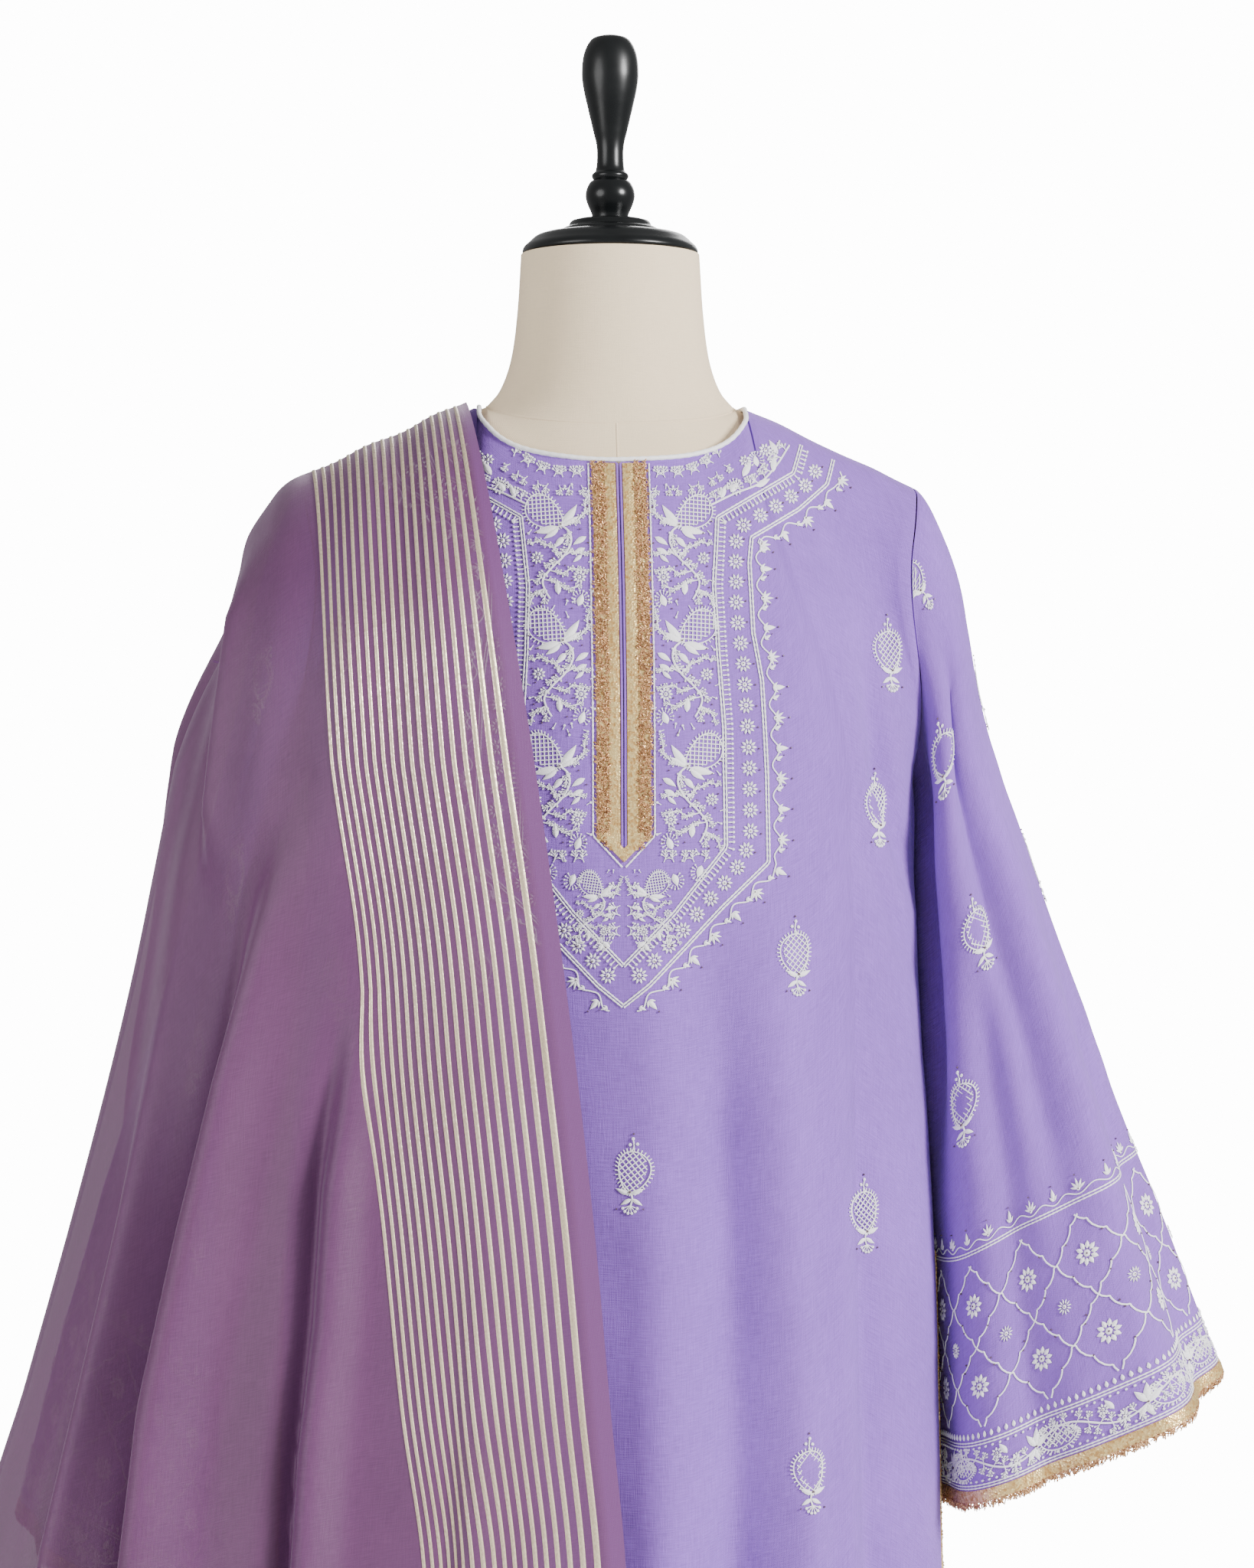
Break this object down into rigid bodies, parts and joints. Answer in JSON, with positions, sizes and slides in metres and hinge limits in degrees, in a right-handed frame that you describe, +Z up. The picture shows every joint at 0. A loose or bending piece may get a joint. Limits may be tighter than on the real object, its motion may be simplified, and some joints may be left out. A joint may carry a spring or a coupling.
{
  "type": "kurta and dupatta on a dress form",
  "caption": "Bell-sleeved kurta with embroidered yoke and cuffs and a sheer dupatta over one shoulder, standing on a limbless dress form.",
  "frame": {"origin": "on the floor under the middle of the stand's round base", "axes": "+Z up along the stand's pole, the garment's front faces -Y and the viewer's right is +X"},
  "size_m": [0.8169, 0.3729, 1.6317],
  "materials": {
    "kurta_cotton": "lavender slub cotton, matt",
    "embroidery_thread": "white cotton thread and cord",
    "gold_lace": "woven gold and copper metallic lace",
    "dupatta_organza": "sheer plum organza with a silky sheen",
    "form_linen": "cream linen cover",
    "black_lacquer": "black satin lacquer on turned wood",
    "black_steel": "black satin paint"
  },
  "bodies": {
    "root": {"kurta_front": "kurta_cotton", "kurta_back": "kurta_cotton", "sleeve_right": "kurta_cotton", "sleeve_left": "kurta_cotton", "neck_piping": "embroidery_thread", "placket_lace": "gold_lace", "cuff_lace_right": "gold_lace", "cuff_lace_left": "gold_lace", "slit_lace_front_right": "gold_lace", "slit_lace_front_left": "gold_lace", "slit_lace_back_right": "gold_lace", "slit_lace_back_left": "gold_lace", "dupatta_front": "dupatta_organza", "dupatta_back": "dupatta_organza", "form_body": "form_linen", "form_cap": "black_lacquer", "form_finial": "black_lacquer", "stand_pole": "black_steel", "stand_base": "black_steel"}
  },
  "joints": []
}
